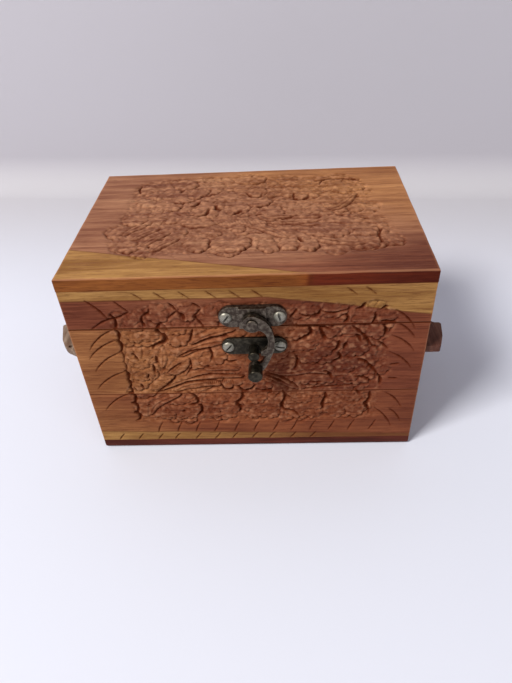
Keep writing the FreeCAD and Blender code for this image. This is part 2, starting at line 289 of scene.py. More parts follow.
    def facets(self):
        """Small flat tool marks with random tilts, as a field."""
        spacing = 2.3
        U, V = np.meshgrid(self.u, self.v)
        columns = int((self.u[-1] - self.u[0]) / spacing) + 4
        rows = int((self.v[-1] - self.v[0]) / (0.8 * spacing)) + 4
        jitter = rng.uniform(0.05, 0.95, (2, rows, columns))
        slope = rng.normal(0, 1, (3, rows, columns))
        gu, gv = (U - self.u[0]) / spacing + 1, (V - self.v[0]) / (0.8 * spacing) + 1
        best = np.full(U.shape, 1e9)
        field = np.zeros(U.shape)
        for di in (-1, 0, 1):
            for dj in (-1, 0, 1):
                i = np.clip(gv.astype(int) + di, 0, rows - 1)
                j = np.clip(gu.astype(int) + dj, 0, columns - 1)
                du, dv = gu - j - jitter[0, i, j], gv - i - jitter[1, i, j]
                away = du * du + dv * dv
                value = slope[0, i, j] * du + slope[1, i, j] * dv + 0.3 * slope[2, i, j]
                closer = away < best
                best[closer] = away[closer]
                field[closer] = value[closer]
        return blurred(field, 1.3)

    def finished(self, mottle):
        """Height with tool marks and punched ground, and the shares of darkening, lightening and deepest
        ground.

        The darkening is stained wood plus painted shade in hollows and on tool marks turned from the light;
        the lightening is wearing plus painted highlight on raised parts and lit tool marks.
        mottle is how much the painted light and shade change from one tool mark to the next.
        """
        work = smooth(blurred(self.work, 3.0) * 1.2)
        low = smooth((-self.height - 0.45) / 0.3) * work
        punched = np.abs(blurred(rng.normal(size=self.height.shape), 1.3))
        punched = np.clip(punched / punched.std() - 0.6, 0, 1.6)
        tools = self.facets()
        h = self.height + work * (0.2 * tools - 0.05 * punched) - 0.06 * punched * low
        h = blurred(np.minimum(h, 0), 0.7)
        around = blurred(h, 5.0)
        # Painted shade in places lower than their surroundings
        painted_hollow_shade = unit((around - h - 0.12) / 0.6)
        # Painted light and shade that change from one tool mark to the next
        painted_facet_shading = mottle * blurred(self.facets(), 1.0)
        dark = 0.95 * blurred(self.dark, 0.6) + 0.4 * painted_hollow_shade
        dark = dark + work * (0.12 * punched + 0.3 * np.clip(-painted_facet_shading, 0, 1.2))
        # Lighter from wearing, plus painted highlight on parts higher than their surroundings and on lit
        # tool marks
        wear_and_highlight = 0.35 * unit((h - around - 0.05) / 0.35) + 0.75 * unit(painted_facet_shading - 0.1)
        return h, unit(dark), unit(wear_and_highlight * work), low


def hatch(relief, starts, v_low, v_high, lean):
    """A row of slanting cuts: each runs from v_low to v_high and leans over by lean."""
    for u in starts:
        u = u + rng.uniform(-0.7, 0.7)
        bow = rng.uniform(-0.4, 0.4)
        relief.cut([(u, v_low), (u + lean / 2 + bow, (v_low + v_high) / 2), (u + lean, v_high)], 0.9, 0.7)


def feather(relief, side, u, heights, reach, drop):
    """A border of curved cuts fanning out and down from a line at u, one from each height."""
    for v in heights:
        r = reach + rng.uniform(-1, 1)
        d = drop + rng.uniform(-0.8, 0.8)
        relief.cut([(u, v), (u + side * 0.45 * r, v - 0.3 * d), (u + side * 0.82 * r, v - 0.7 * d),
                    (u + side * r, v - d)], 0.95, 0.95)


def scallop_line(relief, u, heights, bulge, wide=1.7, deep=1.5):
    """An upright wavy cut: an arc bulging by bulge between each pair of heights."""
    for high, low in zip(heights[:-1], heights[1:]):
        relief.cut([(u - 0.4 * bulge, high + 0.5), (u + bulge, (2 * high + low) / 3),
                    (u + 0.6 * bulge, low + 0.8), (u - 0.5 * bulge, low)], wide, deep)


def spread(u, v, wide, tall, turn=0.0, bends=7, uneven=0.13):
    """A rough oval outline for a leaf, a little different each time."""
    angles = np.linspace(0, 2 * np.pi, bends + 1)[:-1]
    sizes = 1 + rng.uniform(-uneven, uneven, bends)
    x, y = 0.5 * wide * sizes * np.cos(angles), 0.5 * tall * sizes * np.sin(angles)
    c, s = math.cos(math.radians(turn)), math.sin(math.radians(turn))
    return np.stack([u + c * x - s * y, v + s * x + c * y], 1)


def shrunk(panel, across, upward, middle):
    """An outline drawn in towards u = 0 and v = middle."""
    return [(across * u, middle + upward * (v - middle)) for u, v in panel]


def flower(relief, v, ring, wide, tall, heart, pitch):
    """Eight petals in a ring round a bud at (0, v)."""
    for k in range(8):
        angle = math.pi * k / 4
        petal = spread(ring * math.cos(angle), v + ring * math.sin(angle), wide, tall, 45 * k, 7, 0.05)
        relief.leaf(petal, 9, 0.3)
    relief.leaf(spread(0, v, heart, heart, 0, 7, 0.04), pitch, 0.4)


# Outlines and lines, as u, v, u, v and so on, in millimetres from the face's middle and the floor
FRONT_LEAVES = (
    (-54, 41, -50, 40, -46, 44, -43, 50, -43, 57, -42, 62, -45, 66, -50, 66, -54, 63, -53, 52),
    (-54, 67, -47, 66, -41, 66.5, -36.5, 70, -38.5, 74, -38, 79, -43, 83, -49, 83, -53, 78),
    (-34, 67, -29, 65.5, -25, 69, -24, 75, -26, 79.5, -31, 80, -34.5, 75),
    (-41, 80, -36, 78.5, -32.5, 81.5, -33, 87, -38, 88.5, -41, 86),
    (-27, 80, -23, 79.5, -19, 84, -22, 88.5, -27.5, 88),
    (-20, 76, -13, 76, -11, 82, -14, 87, -18, 85),
    (-22, 55, -15, 54, -10, 58, -11, 63, -17, 63, -21, 60),
    (18, 74.5, 23, 76, 27, 74, 26, 70, 21, 67.5, 18, 70),
    (22, 66, 27, 69.5, 32, 67.5, 37.5, 67, 38.5, 62.5, 39.5, 57, 34, 54, 27, 54, 22, 56),
    (42, 66, 46, 69.5, 50, 67, 52, 62, 49, 58.5, 43, 57.5, 41, 61),
    (27, 75, 31, 76, 37, 74.5, 40, 70, 35, 68.5, 31, 70),
    (40, 54, 44.5, 57, 50, 56, 54, 52.5, 56, 47.5, 54, 43, 48, 41, 42, 42, 38.5, 46, 38, 51),
    (50, 75, 55, 76, 58, 72.5, 57, 68, 53, 68, 50, 71),
    (18, 81, 22, 79, 28, 80, 30.5, 83, 27, 86.5, 21, 86.5),
    (31, 81, 36, 79, 41, 81, 42, 84.5, 37, 86, 32, 85.5),
    (20, 76.5, 30, 75.5, 39, 76, 41, 79, 32, 78.5, 22, 79),
    (44, 77, 47, 76, 50, 75.8, 53, 78, 53, 82, 49, 84, 45, 81.5),
    (54.5, 77, 59, 76, 62, 79, 60, 82.5, 56, 82),
    (23, 42, 30, 41.5, 38, 43, 35, 48, 28, 49.5, 24, 46),
)
FRONT_BLADES = (  # a line through each blade, and its width
    ((-43.5, 38.5, -35, 43.5, -26, 47, -16, 48.5, -3, 47.2), 5.0),
    ((-36, 38.5, -29, 42, -21, 43.5, -13, 42.5), 4.6),
    ((-38, 48.8, -33.5, 52.5, -29, 56.5, -26.5, 58.5), 7.0),
    ((-31, 59.5, -24, 64.5, -15, 67.5, -6, 68), 4.6),
    ((-25, 67, -18, 71, -10, 73.5, -5, 74), 4.0),
    ((-39.5, 53, -38, 59, -37.5, 65), 3.6),
    ((-50, 22.5, -46.5, 29, -40.5, 33.5, -33, 36.5), 4.4),
    ((6.5, 46.8, 12, 44.8, 17.5, 41.6, 21.5, 38.8), 3.4),
    ((8, 49.5, 17, 48.8, 27, 50.5, 36, 48), 4.4),
    ((-20, 51.5, -12, 53, -5, 51.5), 3.6),
)
FRONT_CUTS = (  # width, depth and then the lines of the deepest notches of that size
    (2.6, 1.5, (-37, 77.5, -38.3, 74.5, -35.6, 71.5, -36, 68.3, -40, 67, -41.7, 65)),
    (1.8, 1.3, (-41, 60.5, -41.2, 56), (48, 38, 49.5, 35), (33, 49.8, 35, 48.6, 36.8, 45),
     (42.3, 66, 41, 62.4), (39, 60, 40, 57.2, 36, 55)),
    (1.6, 1.3, (-43, 55, -43, 51), (-13.5, 43, -12.2, 39.9, -9.2, 39.5, -7.8, 42),
     (-5.6, 41, -3.5, 38.4, 0, 39.4, 2.2, 42), (2, 39.8, 4, 38.4, 9, 38.2, 9, 36.5),
     (17.5, 76.2, 23, 75.4, 31, 75, 36, 72.8), (57, 75, 58.4, 72.2, 57.4, 69),
     (47.5, 56.4, 51, 55, 54.6, 50.5, 57, 47), (41, 81, 42.2, 79, 41, 76.6), (20, 60, 21.2, 56, 20, 51)),
    (1.2, 1.1, (-51.5, 62.5, -50, 60.5, -49, 58), (-31.5, 89, -28.6, 85),
     (-28.6, 84.6, -30.5, 83, -32.6, 81), (-18.6, 85.2, -20.5, 83, -22, 81.6)),
    (1.4, 1.1, (-46, 49.5, -47, 47), (-11, 57.5, -8, 56.3, -5, 57.5), (27, 43.6, 30, 42.9, 32.5, 43.4),
     (55.5, 66.5, 58, 64, 60, 62), (22, 82, 25, 80.6, 29.6, 81.4, 31, 83.6)),
    (1.2, 1.0, (-50.7, 44, -49.5, 40.5), (-21.5, 88.5, -18.6, 85.8)),
    (1.8, 1.4, (-43.3, 82.5, -44, 80, -43, 77.2), (-26, 30, -24.2, 28.5, -24.5, 24.5, -27, 22)),
    (1.6, 1.2, (-40, 86, -40.5, 84, -43, 82.5), (-33.2, 25.8, -32.9, 24.4),
     (6.5, 48.8, 13, 46.6, 19, 42.6, 22, 39.4), (53, 81.2, 53.4, 78.5, 52, 76.2)),
    (2.4, 1.5, (-28, 84, -26.3, 82, -26.3, 79.8), (30.8, 74.5, 31.6, 71.5, 33, 67.8)),
    (1.5, 1.2, (-22, 81.5, -20, 79, -18, 75.8),
     (-43.5, 38.7, -38.5, 42.5, -34.5, 46.8, -35, 48.4, -37.4, 50),
     (-43.5, 38.2, -36, 40.8, -28, 44.4, -21, 45.2, -14, 44.9), (-17, 64.5, -16, 60.5, -17, 57),
     (55.6, 83.4, 58, 84.8), (18, 80, 20, 82.6, 21.2, 84.6)),
    (1.3, 1.1, (-23, 75, -24, 71.5, -25, 69), (-37.4, 50.2, -33.5, 54, -30, 56.4),
     (-28.5, 46.2, -20, 48.9, -10, 48.8, -3, 47.6), (-31, 59.8, -25, 62.8, -15, 65),
     (31, 83, 34, 82.2, 37, 82, 41, 83.2)),
    (1.0, 0.9, (-26.5, 57, -26, 53.5, -29, 48.6)),
    (1.4, 1.2, (-24.5, 66, -16, 70, -8, 71)),
    (2.0, 1.5, (-29.5, 38, -27, 36, -25.4, 32.5, -26.3, 30.3, -30, 29.8),
     (14.6, 38, 15.4, 33.5, 13.9, 28.5, 15, 25.6, 20, 24, 21.7, 21.5),
     (54.6, 36, 54.6, 31.5, 52.8, 28.5, 54.6, 24.5, 55, 21.5)),
    (2.2, 1.5, (-4.3, 37.8, -4.4, 34, -7, 30, -5.4, 27.3, -6.2, 24)),
    (2.0, 1.4, (34.2, 36.5, 34.2, 33, 32.9, 29, 33.4, 25.3), (6.2, 48, 10, 45.8, 15, 43.4),
     (45.8, 70.2, 47.2, 68.8, 48, 66.6)),
    (1.1, 1.0, (24, 38.8, 32, 39.9, 45, 40.6)),
    (1.9, 1.4, (26, 75, 26.9, 71.6, 24, 69.3, 21, 67.8), (39, 67, 38.6, 63.2, 36.4, 61),
     (57, 47, 58.5, 44.5, 58.4, 41)),
    (1.7, 1.3, (44, 75, 49, 70, 53, 64.2, 56, 62.6), (47, 46.2, 52, 45, 54, 42.5),
     (56, 77.2, 59, 76.8, 62, 75.8), (45.5, 83.6, 47.4, 84.2, 48.8, 86.8)),
    (1.3, 1.0, (62, 53, 66, 53.6), (62, 45, 66, 44.6)),
)
TOP_CUTS = (  # the same for the lid's top
    (2.6, 1.6, (-23, 1.5, -20.5, 2, -19, 5, -18.5, 8), (-15.5, 11, -14.5, 8, -12, 7)),
    (2.8, 1.6, (-6.5, 2, -4.5, 4, -3, 5.5)),
    (2.2, 1.5, (-27, 11, -25, 12, -23.5, 16), (-36, 15.5, -33, 14.5, -31, 16)),
    (1.8, 1.3, (-1, 23.5, 1.5, 20, 5.5, 19.5, 6.3, 23), (22, 22, 22, 17, 25, 14.6, 28.6, 18, 29, 21),
     (12, -3.5, 18, -3.2, 23, -1), (57, -14, 58.3, -17, 57, -21.5, 57.5, -28)),
    (1.6, 1.2, (5, 9, 8, 8.5), (20, -10.5, 27, -11.5, 33, -11)),
    (2.2, 1.4, (4, 1, 7, 0.6)),
    (1.9, 1.3, (51, -5.5, 55, -6.6)),
    (2.0, 1.4, (22.5, -22, 24.5, -26)),
    (1.5, 1.2, (35, 31, 37, 36, 43, 38, 52, 37, 56, 33), (-55.5, 37, -56, 32, -54.5, 27),
     (-38, -20.5, -36, -20)),
    (1.6, 1.3, (-42, -25, -41, -27.5)),
)


def carve_front():
    """A leafy panel between feathered borders, over a row of leaves, with hatch rows along the edges."""
    r = Relief(-HALF_X, HALF_X, BASE_TOP_Z, RAIL_TOP_Z)
    panel = [(-55, 83), (-30, 88), (0, 87), (40, 86), (57, 83), (60, 60), (57, 30), (55, 20), (0, 19),
             (-50, 19), (-54, 30), (-54, 60)]
    r.ground(panel)
    r.foliage(shrunk(panel, 0.96, 0.95, 52), 8.5)
    for k, (u, wide) in enumerate(((-36.5, 23), (-15.5, 17), (4.5, 17.5), (24.5, 16.5), (44.0, 18))):
        r.leaf(spread(u, 28.5, wide + 1.5, 18 + k % 2, 0, 8, 0.07), 4.4, 0.9)
        for side in (-1, 1):
            r.leaf(spread(u + side * 0.25 * wide, 23.5, 0.5 * wide, 8, side * 20, 6), 3.8, 0.7, bold=0.3)
        crown = spread(u + rng.uniform(-3, 3), 32.5, 0.6 * wide, 6.5, rng.uniform(-15, 15), 6)
        r.leaf(crown, 3.4, 0.7, bold=0.2)
    for outline in FRONT_LEAVES:
        r.leaf(outline)
    for u, v, wide in ((43.5, 51.5, 7), (50.5, 49.5, 7.5), (45.5, 45.5, 7), (26, 64.5, 8.5), (33, 61, 8),
                       (28, 57.5, 7.5), (-47.5, 77, 8), (-42, 71.5, 8), (-29.5, 74.5, 8), (-49, 70.5, 7),
                       (-48, 55.5, 7.5), (-50, 48, 7), (18, 53.5, 6)):
        r.leaf(spread(u, v, wide, 0.75 * wide, rng.uniform(-40, 40), 6), 3.3, 0.6, bold=0.3)
    r.nicks(shrunk(panel, 0.98, 0.98, 52), 330)
    for points, wide in FRONT_BLADES:
        r.blade(points, wide)
    for u, v, wide, tall in ((-10.6, 42.4, 6.2, 5.4), (-2.2, 41.7, 6.6, 5.6), (-6.3, 43.6, 5.0, 4.4)):
        r.leaf(spread(u, v, wide, tall, 0, 7, 0.06), 60, 0.0, 0.05, 0, 0.4)
    for wide, deep, *lines in FRONT_CUTS:
        for points in lines:
            r.cut(points, wide * 1.05, deep)
    for k in range(15):
        u = -21.5 + 0.95 * k
        r.cut([(u, 45), (u + 0.3, 43 - 0.1 * (k % 3))], 0.6, 0.5)
    scallop_line(r, -56, (83, 76, 69.5, 63.5), 1.0)
    scallop_line(r, -55.8, (63.5, 57.5, 52), 0.6, 1.0, 0.8)
    scallop_line(r, -56.0, (52, 46.5, 41.5, 37), 0.7, 1.9)
    scallop_line(r, -56.3, (38, 31.5, 25, 19.5), 1.6, 2.1)
    r.cut([(-49, 84.2), (-54, 82), (-60, 80.3), (-66.5, 76)], 1.3, 1.1)
    r.cut([(-65.5, 91.2), (-61, 86.5), (-57.5, 81)], 1.2, 1.0)
    r.cut([(-53.5, 90.3), (-48.5, 84.4)], 1.1, 1.0)
    feather(r, -1, -56.3, (76.3, 70.5, 63.3, 52.0, 38.4), 14.0, 11)
    feather(r, 1, 61, (83.0, 77.0, 69.6, 60.4), 9.6, 9.5)
    feather(r, 1, 61.5, (36.0,), 9.0, 10)
    feather(r, 1, 57.5, (25.5,), 9.5, 12)
    feather(r, 1, 64.5, (25.0,), 5.5, 9)
    hatch(r, (-46, -37, -26, -16, -6.5, 2.5, 40.5, 48.5), 94.3, 90.8, 4.2)
    hatch(r, np.arange(-47, 60, 9.3), 10.8, 17.8, 3.0)
    hatch(r, np.arange(-68, 28, 9.5), 5.4, 9.9, 3.2)
    return r


def carve_top():
    """A dense oval of leaves, blades and buds with plain margins."""
    r = Relief(-HALF_X, HALF_X, -HALF_Y, HALF_Y)
    panel = [(-57, -29), (-30, -33), (0, -32), (30, -33), (58, -33), (64, -20), (58, 5), (52, 38), (20, 42),
             (-20, 43), (-54, 40), (-58, 10)]
    r.ground(panel, 0.55)
    r.foliage([(0.95 * u, 0.93 * v + 1) for u, v in panel], 11.0)
    for outline in ((20, -12, 30, -8, 42, -10, 46, -16, 40, -22, 28, -20),
                    (44, -14, 50, -9, 57, -12, 56, -20, 48, -21),
                    (-58, 4, -50, 6, -46, 0, -50, -6, -57, -4),
                    (-27, 4, -21, 2, -14, 5, -11, 12, -16, 17, -24, 15),
                    (-10, 3, -3, 2, 1, 8, -3, 15, -10, 13),
                    (42, -25, 48, -22, 56, -25, 55, -31, 46, -32)):
        r.leaf(outline, 4.6, bold=0.5)
    for u, v, radius in ((3, 22, 3.6), (25, 18, 3.8), (-4, -12, 3.8), (46, 12, 4.0), (50, 4, 3.6),
                         (43, 3, 3.6), (53, 26, 3.4), (-14.5, -16, 3.4), (5, -14, 3.4)):
        r.leaf(spread(u, v, 2.1 * radius, 1.7 * radius, 0, 7, 0.14), 3.4, 0.5, 0.04, bold=0.4)
    r.nicks(panel, 330, 0.2)
    for points, wide in (((8, -2, 20, -1.5, 33, -3), 4.0), ((10, -7, 20, -7.5, 32, -6), 3.6),
                         ((28, -22, 38, -26, 50, -28), 4.2), ((-30, -6, -22, -8, -12, -5), 3.6),
                         ((35, 2, 44, 8, 52, 20), 4.0), ((0, -9, 8, -13, 18, -22), 4.2),
                         ((33, 37, 44, 41, 55, 36), 4.2)):
        r.blade(points, wide)
    for k in range(4):
        r.blade([(-55 + 5 * k, -15 - 5 * k), (-50 + 5 * k, -9 - 5 * k), (-44 + 5 * k, -4 - 5 * k)], 3.6)
    for u, v, wide, tall in ((-21, -25, 11, 13), (-6, -25, 17, 14), (10, -28, 9, 11), (18.5, -27, 8.5, 10),
                             (27, -28, 8, 11), (-50, -28, 8, 5)):
        r.leaf(spread(u, v, wide, tall, 0, 8, 0.08), 5.2, 0.9, 0.04, bold=1.1)
    for wide, deep, *lines in TOP_CUTS:
        for points in lines:
            r.cut(points, wide, deep)
    for u in np.arange(-52, 56, 7.4) + rng.uniform(-1, 1, 15):
        r.cut([(u, -34), (u + 1.2, -36), (u + 3.4, -38)], 0.9, 0.3, 0.12)
    for k in range(22):
        u = -16 + 1.6 * k
        r.cut([(u, -2.5 - 0.12 * k), (u + 3.0, -9.5 - 0.1 * k)], 0.7, 0.35, 0.25)
    return r


def carve_back():
    """The same kind of work as the front, around a central flower."""
    r = Relief(-HALF_X, HALF_X, BASE_TOP_Z, RAIL_TOP_Z)
    panel = [(-55, 84), (0, 88), (55, 84), (56, 50), (54, 20), (0, 19), (-54, 20), (-56, 50)]
    r.ground(panel)
    r.foliage(shrunk(panel, 0.96, 0.94, 52), 9.5)
    for k in range(6):
        r.leaf(spread(-45 + 18 * k, 28, 19, 17, 0, 8, 0.08), 4.4, 0.9)
    for side in (-1, 1):
        r.blade([(side * 8, 40), (side * 22, 54), (side * 44, 46)], 5.0)
        r.blade([(side * 6, 50), (side * 18, 68), (side * 36, 68)], 4.6)
        r.blade([(side * 8, 36), (side * 20, 31), (side * 38, 34)], 4.6)
    flower(r, 46, 8.6, 8, 6.2, 8.4, 3.3)
    for side in (-1, 1):
        scallop_line(r, side * 56.5, range(84, 19, -8), -side * 1.4)
        feather(r, side, side * 58.5, np.arange(82, 30, -7.6), 12.0, 10)
    hatch(r, np.arange(-66, 66, 10.3), 94.3, 90.8, 4.2)
    hatch(r, np.arange(-60, 60, 9.3), 10.8, 16.6, 3.0)
    hatch(r, np.arange(-70, 70, 9.5), 5.4, 9.4, 3.0)
    return r


def carve_side(handle_low, handle_high):
    """Leaves and a flower above and below the handle, whose own seat stays flat."""
    half = HALF_Y - WALL
    r = Relief(-half, half, BASE_TOP_Z, RAIL_TOP_Z)
    low_panel = [(-33, 46), (0, 49), (33, 46), (34, 30), (32, 19), (0, 18), (-32, 19), (-34, 30)]
    high_panel = [(-33, 68), (0, 67), (33, 68), (33, 84), (0, 87), (-33, 84)]
    for panel, middle in ((low_panel, 33), (high_panel, 77)):
        r.ground(panel)
        r.foliage(shrunk(panel, 0.93, 0.88, middle), 9.0)
    for side in (-1, 1):
        r.leaf(spread(side * 24, 27, 17, 14, side * 30, 8, 0.08), 4.4, 0.9)
        r.blade([(side * 4, 38), (side * 14, 48), (side * 27, 46)], 4.0)
        r.blade([(side * 3, 72), (side * 12, 77), (side * 26, 76)], 3.6)
    flower(r, 32, 6.4, 6.4, 5, 6.2, 3.0)
    r.leaf(spread(0, 79, 12, 13, 90, 8), 4.0, 0.8)
    for side in (-1, 1):
        scallop_line(r, side * 35.5, (48, 40.5, 33, 25.5, 18), -side * 1.2, 1.5)
        feather(r, side, side * 36.5, (46, 39, 32, 25), 5.0, 6.5)
    hatch(r, np.arange(-36, 36, 9.5), 94.3, 90.8, 4.0)
    hatch(r, np.arange(-36, 36, 9.1), 10.5, 15.5, 3.0)
    past_handle = np.abs(r.v - (handle_low + handle_high) / 2) - (handle_high - handle_low) / 2
    clear = smooth((past_handle - 0.8) / 2.0)
    for field in (r.height, r.dark, r.work):
        field *= clear[:, None]
    return r


# ---------------------------------------------------------------- meshes

def spaced(low, high, step, fine):
    """Grid lines from low to high, closer together near both ends."""
    near_end = [0, 0.15 * fine, 0.4 * fine, 0.75 * fine, 1.2 * fine]
    count = max(int((high - low - 2 * near_end[-1]) / step), 2)
    middle = np.linspace(low + near_end[-1], high - near_end[-1], count + 1)
    return np.concatenate([low + np.array(near_end[:-1]), middle, (high - np.array(near_end[:-1]))[::-1]])


def edge_drop(distance, radius):
    """How far a rounded edge lies below the face, at a distance in from the board's border."""
    inset = np.clip(radius - distance, 0, radius)
    return radius - np.sqrt(np.maximum(radius ** 2 - inset ** 2, 0))


def sampled(fields, relief, U, V):
    """The fields' values at points (U, V), by linear interpolation."""
    x = np.clip((U - relief.u[0]) / RASTER, 0, len(relief.u) - 1.001)
    y = np.clip((V - relief.v[0]) / RASTER, 0, len(relief.v) - 1.001)
    j, i = x.astype(int), y.astype(int)
    fx, fy = x - j, y - i
    return [f[i, j] * (1 - fx) * (1 - fy) + f[i, j + 1] * fx * (1 - fy)
            + f[i + 1, j] * (1 - fx) * fy + f[i + 1, j + 1] * fx * fy for f in fields]


FACES = {  # outward axis, right-hand axis and up axis of each face, seen from outside
    "front": ((0, -1, 0), (1, 0, 0), (0, 0, 1)),
    "back": ((0, 1, 0), (-1, 0, 0), (0, 0, 1)),
    "left": ((-1, 0, 0), (0, -1, 0), (0, 0, 1)),
    "right": ((1, 0, 0), (0, 1, 0), (0, 0, 1)),
    "top": ((0, 0, 1), (1, 0, 0), (0, 1, 0)),
}


def span(node, axis):
    """A node's lowest and highest place along an axis, in millimetres."""
    return sorted(corner.dot(axis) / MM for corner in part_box(node))


def added(name, data):
    """A new object in the scene."""
    made = bpy.data.objects.new(name, data)
    bpy.context.scene.collection.objects.link(made)
    return made


def dressed(piece, node, material, body):
    """Give a piece its material, and let it ride on its body in the place of a CAD node."""
    piece.data.materials.clear()
    piece.data.materials.append(material)
    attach(piece, body)
    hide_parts(node)
    return piece


def cut_pocket(board, leaf, pin):
    """Cut the room for one hinge leaf and for the barrel round its pin out of a board's rim."""
    low, high = corners(leaf)
    pin_low, pin_high = corners(pin)
    axis_y, axis_z = (pin_low.y + pin_high.y) / 2, (pin_low.z + pin_high.z) / 2
    barrel = high.y - axis_y + HINGE_ROOM
    below = low.z + high.z < 2 * axis_z
    leaf_z = low.z if below else high.z
    way = -1 if below else 1
    start = math.asin(abs(leaf_z - axis_z) / barrel)
    profile = [(low.y, axis_z), (low.y, leaf_z)]
    for angle in np.linspace(start, math.pi, 20):
        profile.append((axis_y - barrel * math.cos(angle), axis_z + way * barrel * math.sin(angle)))
    ends = (low.x - 0.05, high.x + 0.05)
    count = len(profile)
    points = [(x * MM, y * MM, z * MM) for x in ends for y, z in profile]
    faces = [list(range(count)), list(range(2 * count - 1, count - 1, -1))]
    faces += [[(k + 1) % count, k, k + count, (k + 1) % count + count] for k in range(count)]
    mesh = bpy.data.meshes.new("pocket")
    mesh.from_pydata(points, [], faces)
    bm = bmesh.new()
    bm.from_mesh(mesh)
    bmesh.ops.recalc_face_normals(bm, faces=bm.faces)
    bm.to_mesh(mesh)
    bm.free()
    cutter = added("pocket", mesh)
    modifier = board.modifiers.new("pocket", "BOOLEAN")
    modifier.operation = "DIFFERENCE"
    modifier.solver = "EXACT"
    modifier.object = cutter
    bpy.context.view_layer.update()
    shaped = bpy.data.meshes.new_from_object(board.evaluated_get(bpy.context.evaluated_depsgraph_get()))
    board.modifiers.clear()
    old, board.data = board.data, shaped
    bpy.data.meshes.remove(old)
    bpy.data.objects.remove(cutter)
    bpy.data.meshes.remove(mesh)


def carved_board(node, face, relief, fields, material, slot, body, round_edge=EDGE, grid=GRID,
                 hinge_leaf=None):
    """A closed board whose outer face carries the carving, and whose other faces are flat.

    hinge_leaf names the leaves, less their hand, that are let into its rim.
    """
    out, right, up = (Vector(axis) for axis in FACES[face])
    n0, n1 = span(node, out)
    us = spaced(*span(node, right), grid, round_edge)
    vs = spaced(*span(node, up), grid, round_edge)
    U, V = np.meshgrid(us, vs)
    depth, dark, wear_and_highlight, deep_ground = sampled(fields, relief, U, V)
    border = np.minimum.reduce([U - us[0], us[-1] - U, V - vs[0], vs[-1] - V])
    wander = round_edge * (1 + 0.25 * np.sin(U * 0.23 + V * 0.31) * np.sin(U * 0.071 + 1.7))
    drop = np.minimum(edge_drop(border, wander), round_edge * 1.25)
    depth = depth * smooth(border / 0.8) - drop
    # Lighter along the board's rounded edges: wearing, plus a painted highlight where the edge catches the
    # light
    wear_and_highlight = np.maximum(wear_and_highlight, 0.7 * smooth(1.2 - border / (1.5 * round_edge)))
    if face != "top":
        joint = smooth(1.25 - np.minimum(V - vs[0], vs[-1] - V) / JOINT_DARK)
        dark = np.maximum(dark, 0.85 * joint)
        wear_and_highlight = wear_and_highlight * (1 - joint)
    axes = np.array([list(right), list(up), list(out)]) * MM
    points = np.stack([U, V, n1 + depth], -1).reshape(-1, 3) @ axes
    rows, cols = U.shape
    index = np.arange(rows * cols).reshape(rows, cols)
    quads = np.stack([index[:-1, :-1], index[:-1, 1:], index[1:, 1:], index[1:, :-1]], -1).reshape(-1, 4)
    back = np.array([(u, v, n0) for u, v in ((us[0], vs[0]), (us[-1], vs[0]), (us[-1], vs[-1]),
                                             (us[0], vs[-1]))]) @ axes
    a, b, c, d = range(rows * cols, rows * cols + 4)
    sides = [list(index[0, ::-1]) + [a, b], list(index[::-1, -1]) + [b, c],
             list(index[-1, :]) + [c, d], list(index[:, 0]) + [d, a], [d, c, b, a]]
    mesh = bpy.data.meshes.new(node + "_carved")
    sides = [[int(i) for i in side] for side in sides]
    mesh.from_pydata(np.vstack([points, back]).tolist(), [], quads.tolist() + sides)
    smooth_faces = np.ones(len(mesh.polygons), bool)
    smooth_faces[-5:] = False
    mesh.polygons.foreach_set("use_smooth", smooth_faces)
    corner_points = np.zeros(len(mesh.loops), np.int32)
    mesh.loops.foreach_get("vertex_index", corner_points)
    for name, values in (("dark", dark), ("wear_and_highlight", wear_and_highlight), ("deep_ground", deep_ground)):
        per_corner = np.concatenate([values.ravel(), np.zeros(4)])[corner_points]
        per_corner[quads.size:] = 0
        attribute = mesh.attributes.new(name, "FLOAT", "CORNER")
        attribute.data.foreach_set("value", per_corner.astype(np.float32))
    board = added(node + "_carved", mesh)
    if hinge_leaf:
        for hand in ("left", "right"):
            cut_pocket(board, hinge_leaf + hand, "hinge_pin_" + hand)
    dressed(board, node, material, body)


def softened(node, material, body, bevel, segments=2):
    """The node's own shape with its flat faces merged, its edges rounded and its surface shaded smooth."""
    bm = bmesh.new()
    bm.from_mesh(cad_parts[node].data)
    bmesh.ops.remove_doubles(bm, verts=bm.verts, dist=2e-6)
    bmesh.ops.dissolve_limit(bm, angle_limit=math.radians(1.0), verts=bm.verts, edges=bm.edges)

    def bent(edge, degrees):
        return len(edge.link_faces) == 2 and edge.calc_face_angle(0) > math.radians(degrees)

    sharp = [e for e in bm.edges if bent(e, 32)]
    bmesh.ops.bevel(bm, geom=sharp, offset=bevel * MM, offset_type="OFFSET", segments=segments, profile=0.5,
                    affect="EDGES", clamp_overlap=True)
    for f in bm.faces:
        f.smooth = True
    for e in bm.edges:
        e.smooth = not bent(e, 38)
    mesh = bpy.data.meshes.new(node + "_finished")
    bm.to_mesh(mesh)
    bm.free()
    return dressed(added(node + "_finished", mesh), node, material, body)


# ---------------------------------------------------------------- materials

def srgb(r, g, b):
    """A colour given in 0 to 255 display values, as linear light."""
    def channel(c):
        c /= 255
        return c / 12.92 if c <= 0.04045 else ((c + 0.055) / 1.055) ** 2.4
    return (channel(r), channel(g), channel(b), 1.0)


